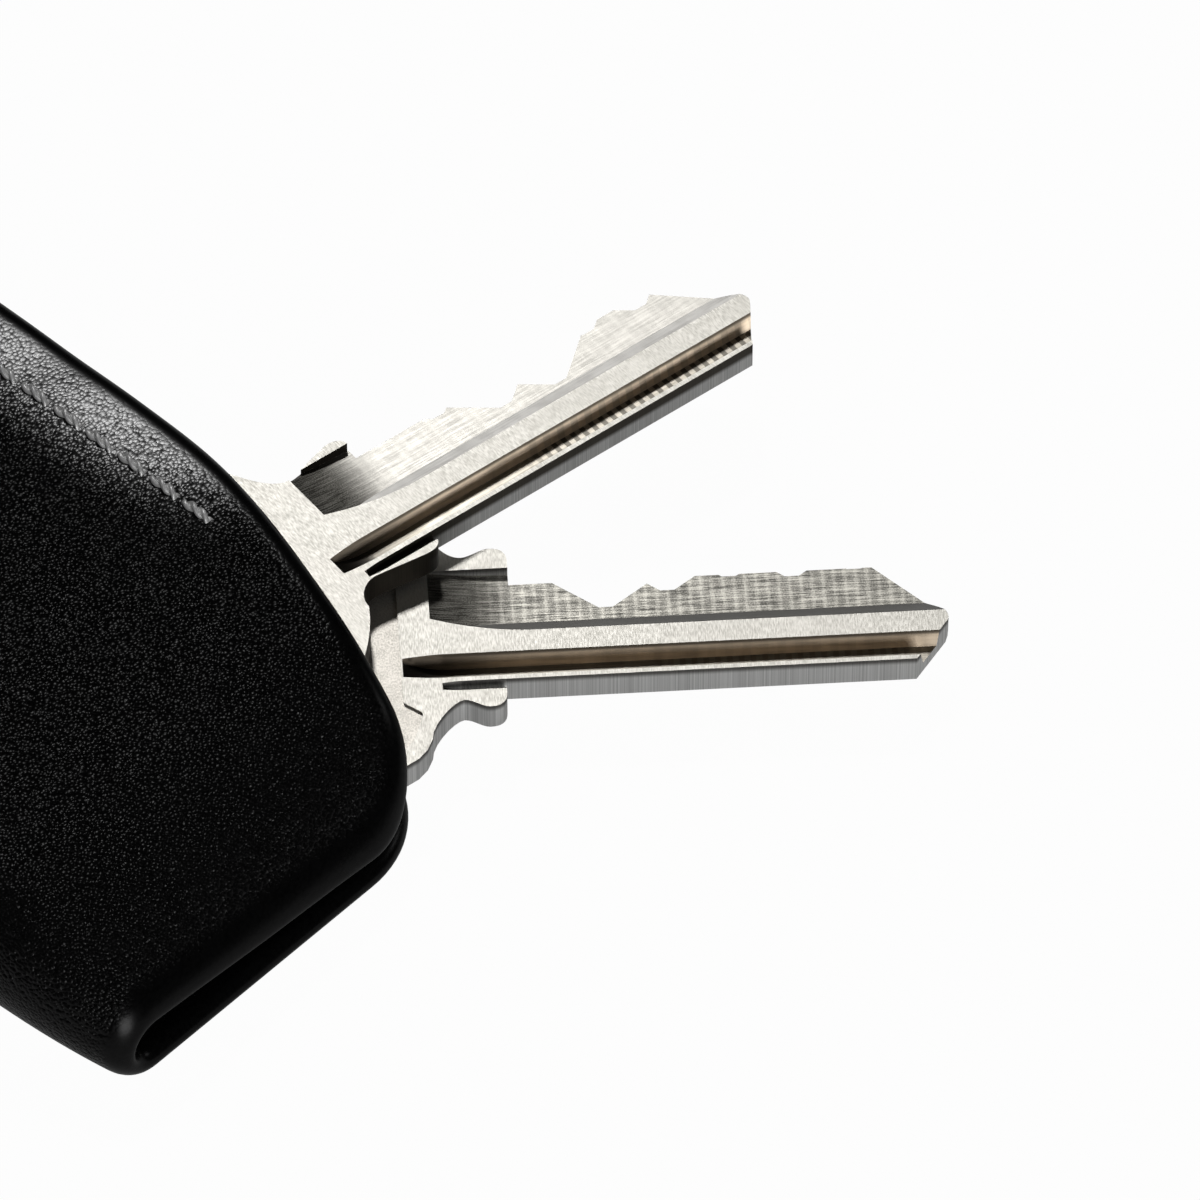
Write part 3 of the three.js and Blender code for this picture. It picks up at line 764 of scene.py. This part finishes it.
def make_leather():
    flap = leather_piece("leather_flap", [panel_shell(flap_middle)])
    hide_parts("front_leather")
    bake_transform(flap)
    points, skin, _, inset = panel_shell(lambda x, y: np.full(x.shape, HALF_T))
    back = leather_piece("leather_back", [(points, skin, [], inset), spine_shell()])
    finish_piece(back, "case", "leather", "back_leather", "spine_leather")


# Stitching


def stitch_mesh():
    """One stitch: two twisted plies that rise out of a hole, lie on the leather and dip into the next."""
    vertices, faces = [], []
    for ply in range(2):
        start = len(vertices)
        for step in range(STITCH_STEPS):
            share = step / (STITCH_STEPS - 1)
            along = STITCH_LENGTH * (share - 0.5)
            rise = STITCH_RISE * math.sin(math.pi * share) ** STITCH_CURVE - STITCH_DIP
            twist = PLY_TWIST * share + math.pi * ply
            centre = Vector((along, PLY_SPREAD * math.cos(twist), rise + PLY_SPREAD * math.sin(twist)))
            for side in range(PLY_SIDES):
                angle = 2 * math.pi * side / PLY_SIDES
                vertices.append(centre + Vector((0, PLY_R * math.cos(angle), PLY_R * math.sin(angle))))
        for step in range(STITCH_STEPS - 1):
            for side in range(PLY_SIDES):
                a = start + step * PLY_SIDES + side
                b = start + step * PLY_SIDES + (side + 1) % PLY_SIDES
                faces.append((a, b, b + PLY_SIDES, a + PLY_SIDES))
        for ring in (start, start + (STITCH_STEPS - 1) * PLY_SIDES):
            faces.append(tuple(range(ring, ring + PLY_SIDES)))
    mesh = raw_mesh("stitch", vertices, faces)
    clean(mesh, THREAD_SHARP)
    return mesh


def stitch_row_tree():
    """Stitches laid end to end along a curve, each turned along it."""
    tree = bpy.data.node_groups.new("stitch_row", "GeometryNodeTree")
    for name, kind in (("Row", "Geometry"), ("Pitch", "Float"), ("Stitch", "Object"), ("Thread", "Material")):
        tree.interface.new_socket(name, in_out="INPUT", socket_type="NodeSocket" + kind)
    tree.interface.new_socket("Stitches", in_out="OUTPUT", socket_type="NodeSocketGeometry")
    build = Nodes(tree)
    given = build.add("NodeGroupInput").outputs
    row = {"Curve": given["Row"], "Length": given["Pitch"]}
    spots = build.add("GeometryNodeCurveToPoints", row, mode="LENGTH").outputs
    turned = build.add("FunctionNodeAlignRotationToVector", {"Vector": spots["Tangent"]}, axis="X").outputs
    stitch = build.add("GeometryNodeObjectInfo", {"Object": given["Stitch"]}).outputs
    each = {"Points": spots["Points"], "Instance": stitch["Geometry"], "Rotation": turned["Rotation"]}
    laid = build.add("GeometryNodeInstanceOnPoints", each).outputs
    real = build.add("GeometryNodeRealizeInstances", {"Geometry": laid["Instances"]}).outputs
    dyed = build.add(
        "GeometryNodeSetMaterial", {"Geometry": real["Geometry"], "Material": given["Thread"]}
    ).outputs
    build.add("NodeGroupOutput", {"Stitches": dyed["Geometry"]})
    return tree


def seam_points():
    """Points of the seam along the open side and round the far corner, on top of the flap."""
    far_x = FAR_END - SEAM_FAR_INSET
    turn_x, turn_y = far_x - SEAM_TURN_R, SEAM_SIDE_Y + SEAM_TURN_R
    plan = [(x, SEAM_SIDE_Y) for x in np.arange(SEAM_START_X, turn_x, SEAM_STEP)]
    for angle in np.linspace(-math.pi / 2, 0, SEAM_TURN_STEPS):
        plan.append((turn_x + SEAM_TURN_R * math.cos(angle), turn_y + SEAM_TURN_R * math.sin(angle)))
    plan += [(far_x, y) for y in np.arange(turn_y + SEAM_STEP, SEAM_END_Y, SEAM_STEP)]
    return [(x, y, float(flap_middle(x, y)) + HALF_T) for x, y in plan]


def make_stitches():
    curve = bpy.data.curves.new("seam_line", "CURVE")
    curve.dimensions = "3D"
    points = seam_points()
    spline = curve.splines.new("POLY")
    spline.points.add(len(points) - 1)
    for place, point in zip(spline.points, points):
        place.co = (*(Vector(point) * MM), 1)
    row = new_object("seam_line", curve)
    stitch = new_object("stitch", stitch_mesh())
    tree = stitch_row_tree()
    modifier = row.modifiers.new("stitch_row", "NODES")
    modifier.node_group = tree
    sockets = {item.name: item.identifier for item in tree.interface.items_tree if item.in_out == "INPUT"}
    modifier[sockets["Pitch"]] = STITCH_PITCH * MM
    modifier[sockets["Stitch"]] = stitch
    modifier[sockets["Thread"]] = THREAD
    seam = new_object("flap_stitches", settled_mesh(row))
    bpy.data.objects.remove(row)
    bpy.data.objects.remove(stitch)
    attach(seam, "cover")


# Rigid pieces dressed from their CAD solids


def merged_copy(node):
    """A CAD node's mesh with its loose triangles joined into whole faces."""
    shape = bmesh.new()
    shape.from_mesh(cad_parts[node].data)
    bmesh.ops.remove_doubles(shape, verts=shape.verts, dist=SLIVER * MM)
    bmesh.ops.dissolve_limit(
        shape,
        angle_limit=math.radians(FLAT_ANGLE),
        verts=shape.verts,
        edges=shape.edges,
        use_dissolve_boundaries=False,
    )
    return shape


def round_over(shape, edges, width, segments, profile):
    bmesh.ops.bevel(
        shape,
        geom=edges,
        offset=width * MM,
        segments=segments,
        profile=profile,
        affect="EDGES",
        clamp_overlap=True,
    )


def soften_edges(shape, width):
    """Small bevels along the sharp edges, so that they catch the light."""
    limit = math.radians(BEVEL_ANGLE)
    sharp = [edge for edge in shape.edges if len(edge.link_faces) == 2 and edge.calc_face_angle(0) > limit]
    round_over(shape, sharp, width, 2, 0.6)


def rigid_mesh(name, shape, finishes):
    """The mesh of a finished shape, with its finishes in the order of the face kinds."""
    mesh = bpy.data.meshes.new(name)
    shape.to_mesh(mesh)
    shape.free()
    smooth(mesh, RIGID_SHARP)
    for finish in finishes:
        mesh.materials.append(finish)
    return mesh


def dress(node, body, slot, finish, edge_width):
    """A rigid piece: its CAD shape with softened edges and a finish."""
    shape = merged_copy(node)
    soften_edges(shape, edge_width)
    name = node + "_dressed"
    finish_piece(new_object(name, rigid_mesh(name, shape, [finish])), body, slot, node)


def make_fittings():
    for node in ("base_plate", "post_barrel", "post_screw", "snap_cup"):
        dress(node, "case", "steel", SATIN_STEEL, 0.06)
    for node in ("washer_lower", "washer_middle", "washer_upper"):
        dress(node, "case", "nylon", NYLON, 0.05)
    dress("snap_magnet", "case", "magnet", MAGNET, 0.08)
    dress("snap_stud", "cover", "steel", SATIN_STEEL, 0.06)
    dress("back_lining", "case", "lining", LINING, 0.2)
    dress("front_lining", "cover", "lining", LINING, 0.2)


# Keys


LAND, MILLED, MILL_WALL, GROOVE_WALL, GROOVE_FLOOR, FLANK, STAMPED = range(7)

LAND_METAL = nickel_silver("key_land", ACROSS, (0.68, 0.66, 0.6), (0.83, 0.805, 0.745), (0.54, 0.44), 0.005)
STAMPED_METAL = nickel_silver(
    "key_stamped", GRAINY, (0.66, 0.63, 0.57), (0.86, 0.82, 0.75), (0.54, 0.46), 0.006
)
FINE_MILLING = milled_material("fine_milling", (0.67, 0.65, 0.6), (0.75, 0.725, 0.67), 0.15)
# More chatter than the fine milling, and colours painted darker as shade
SHADED_ROUGH_MILLING = milled_material("rough_milling_painted_dark", (0.13, 0.126, 0.114), (0.58, 0.56, 0.5), 0.3)
LOWER_FLANK = flank_material("lower_flank", (4.3, 4.75), (0.17, 0.165, 0.155), (0.75, 0.75, 0.74), -12)
UPPER_FLANK = flank_material("upper_flank", (6.3, 6.8), (0.07, 0.062, 0.05), (0.62, 0.62, 0.61), 1)
WALL_COLOUR = (0.98, 0.96, 0.92)
GROOVE_COLOUR = (1, 0.84, 0.65)
GROOVE_FLOOR_COLOUR = (0.52, 0.48, 0.41)


def key_top(node):
    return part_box(node)[1].z / MM


def key_finishes(node, milled, flank, wall_painted_light, groove_painted_light, teeth):
    """The finishes of a key's surfaces, in the order of the face kinds."""
    top = key_top(node)
    # The lower key's walls and groove are painted darker with these shares, as shade
    wall = toned(WALL_COLOUR, wall_painted_light)
    groove = toned(GROOVE_COLOUR, groove_painted_light)
    floor = toned(GROOVE_FLOOR_COLOUR, groove_painted_light)
    return [
        LAND_METAL,
        milled,
        nickel_silver(node + "_mill_wall", ALONG, toned(wall, 0.9), wall, (0.66, 0.56), 0.002),
        groove_material(node + "_groove_wall", groove, (0.6, 0.52), top, 1.1, 0.25 * teeth),
        groove_material(node + "_groove_floor", floor, (0.4, 0.32), top, 0.74, teeth),
        flank,
        STAMPED_METAL,
    ]


# The side to which the cutters left a groove's slope facing
CUTTER_SIDE = Vector((-0.71, 0.48, 0.52))

# How each key lies, how far its hole is from the shoulder, how the normals of its slopes lean, and its finishes
KEYS = {
    "key_lower": {
        "body": "lower_key",
        "turn": math.radians(-133.3),
        "hole": 21.2,
        "sweeps": {MILL_WALL: (UP, 0.15), GROOVE_WALL: (UP, 0.08)},
        # The lower key's mill wall and groove are painted darker, as shade
        "finishes": key_finishes("key_lower", SHADED_ROUGH_MILLING, LOWER_FLANK, 0.5, 0.76, 0.25),
    },
    "key_upper": {
        "body": "upper_key",
        "turn": math.radians(-99.3),
        "hole": 17.7,
        "sweeps": {MILL_WALL: (UP, 0.85), GROOVE_WALL: (CUTTER_SIDE, 0.85)},
        "finishes": key_finishes("key_upper", FINE_MILLING, UPPER_FLANK, 1.0, 1.0, 0.8),
    },
}


def blade_place(point, turn, hole):
    """A point of a key as its place along the blade and across it, in millimetres."""
    c, s = math.cos(turn), math.sin(turn)
    along = c * point.x + s * point.y - hole * MM
    across = -s * point.x + c * point.y + BLADE_H / 2 * MM
    return along / MM, across / MM


def face_kind(face, top, turn, hole):
    """Which finish a face of the key has, from the way it faces and how deep it lies."""
    centre = face.calc_center_median()
    along, across = blade_place(centre, turn, hole)
    depth = top - centre.z / MM
    beside_groove = GROOVE_LOW < across < GROOVE_HIGH and along > GROOVE_START
    in_groove = beside_groove and FLUSH < depth < GROOVE_DEEPEST
    faces_across = abs(face.normal.y * math.cos(turn) - face.normal.x * math.sin(turn)) > 0.7
    if face.normal.z < WALL_BELOW:
        if in_groove and faces_across:
            return GROOVE_WALL
        return STAMPED if depth < STAMP_DEPTH and along < STAMP_STEP_START else FLANK
    if depth < FLUSH:
        return LAND
    if in_groove or across < SHORT_GROOVE_HIGH and along > SHORT_GROOVE_START:
        return GROOVE_FLOOR
    if depth < STAMP_DEPTH + 0.05 and along < STAMP_START:
        return STAMPED
    return MILLED if face.normal.z > LEVEL_ABOVE else MILL_WALL


def soften_bow(shape, top, turn, hole):
    """A wider round on the upper rim of the bow, which is worn by the hand."""
    rim = []
    for edge in shape.edges:
        along, _ = blade_place(edge.verts[0].co.lerp(edge.verts[1].co, 0.5), turn, hole)
        level = min(vert.co.z for vert in edge.verts) / MM
        if level > top - 0.01 and along < BOW_START and edge.calc_face_angle(0) > math.radians(RIM_ANGLE):
            rim.append(edge)
    round_over(shape, rim, BOW_RIM_EDGE, 4, 0.5)


def sweep_slopes(mesh, sweeps):
    """Shades cut slopes as shallow sweeps: the normals of each kind of face lean to a side by a share."""
    normals = [corner.vector.copy() for corner in mesh.corner_normals]
    for face in mesh.polygons:
        if face.material_index in sweeps:
            side, share = sweeps[face.material_index]
            for corner in face.loop_indices:
                normals[corner] = normals[corner].lerp(side, share).normalized()
    mesh.normals_split_custom_set(normals)


def make_key(node):
    form = KEYS[node]
    turn, hole = form["turn"], form["hole"]
    top = key_top(node)
    shape = merged_copy(node)
    for face in shape.faces:
        face.material_index = face_kind(face, top, turn, hole)
    soften_bow(shape, top, turn, hole)
    soften_edges(shape, KEY_EDGE)
    places = shape.loops.layers.uv.new("blade")
    for face in shape.faces:
        for loop in face.loops:
            loop[places].uv = blade_place(loop.vert.co, turn, hole)
    name = node + "_milled"
    piece = new_object(name, rigid_mesh(name, shape, form["finishes"]))
    level = piece.modifiers.new("level_faces", "WEIGHTED_NORMAL")
    level.keep_sharp = True
    piece.data = settled_mesh(piece)
    piece.modifiers.remove(level)
    sweep_slopes(piece.data, form["sweeps"])
    finish_piece(piece, form["body"], "key_metal", node)


# Studio


def view_axes():
    """The photograph's right, its up, and the way from the object back to the camera."""
    level = math.cos(VIEW_ELEVATION)
    back = Vector((math.sin(VIEW_AZIMUTH) * level, -math.cos(VIEW_AZIMUTH) * level, math.sin(VIEW_ELEVATION)))
    right = UP.cross(back).normalized()
    return right, back.cross(right), back


def stand(thing, place, back):
    """Puts a camera or a lamp at a place, in metres, with its back turned that way."""
    thing.location = place
    thing.rotation_mode = "QUATERNION"
    thing.rotation_quaternion = back.to_track_quat("Z", "Y")


def make_camera():
    """The photograph's camera. Gives the place that it looks at, in metres."""
    right, up, back = view_axes()
    middle = PHOTO_SIZE / 2
    target = Vector((0, 0, POST_LEVEL))
    target += right * (middle - POST_PIXEL[0]) / PHOTO_SCALE
    target += up * (POST_PIXEL[1] - middle) / PHOTO_SCALE
    data = bpy.data.cameras.new("photo_camera")
    data.sensor_width = SENSOR
    data.lens = SENSOR * VIEW_DISTANCE * PHOTO_SCALE / PHOTO_SIZE
    data.clip_start = 0.01
    data.clip_end = 100
    camera = new_object("photo_camera", data)
    stand(camera, (target + back * VIEW_DISTANCE) * MM, back)
    bpy.context.scene.camera = camera
    return target * MM


def make_lamp(name, aim, left, away, height, size, power):
    """A square lamp that shines at the place aim."""
    right, _, back = view_axes()
    away_axis = -Vector((back.x, back.y, 0)).normalized()
    place = aim + (away_axis * away - right * left + UP * height) * MM
    data = bpy.data.lights.new(name, "AREA")
    data.size = size * MM
    data.energy = power
    stand(new_object(name, data), place, place - aim)


def make_floor():
    """A pale floor that shows white to the camera and keeps part of the object's shadow."""
    made, build, shader = material("pale_floor")
    build.feed(shader, {"Base Color": (0.92, 0.92, 0.92, 1), "Roughness": 0.9, "Specular IOR Level": 0.0})
    path = build.add("ShaderNodeLightPath").outputs
    seen = build.times(path["Is Camera Ray"], FLOOR_SEEN)
    other_rays = build.math("ADD", path["Is Glossy Ray"], path["Is Transmission Ray"])
    share = build.math("ADD", seen, build.times(other_rays, FLOOR_MIRRORED))
    glow = build.add("ShaderNodeEmission", {"Color": (1, 1, 1, 1), "Strength": 1.0}).outputs["Emission"]
    both = build.add("ShaderNodeMixShader", {0: share, 1: shader.outputs["BSDF"], 2: glow}).outputs["Shader"]
    build.feed(made.node_tree.nodes["Material Output"], {"Surface": both})
    mesh = bpy.data.meshes.new("floor")
    corners = [(x * FLOOR_REACH, y * FLOOR_REACH, 0) for x, y in ((-1, -1), (1, -1), (1, 1), (-1, 1))]
    mesh.from_pydata(corners, [], [(0, 1, 2, 3)])
    mesh.materials.append(made)
    floor = new_object("floor", mesh)
    floor.location.z = -FLOOR_DROP * MM


def make_studio():
    scene = bpy.context.scene
    scene.view_settings.view_transform = "Standard"
    world = bpy.data.worlds.new("studio")
    world.use_nodes = True
    room = {"Color": (1, 1, 1, 1), "Strength": ROOM_LIGHT}
    Nodes(world.node_tree).feed(world.node_tree.nodes["Background"], room)
    scene.world = world
    aim = make_camera()
    make_floor()
    for name, setting in LAMPS.items():
        make_lamp(name, aim, *setting)


make_leather()
make_stitches()
make_fittings()
for key_node in KEYS:
    make_key(key_node)
make_studio()
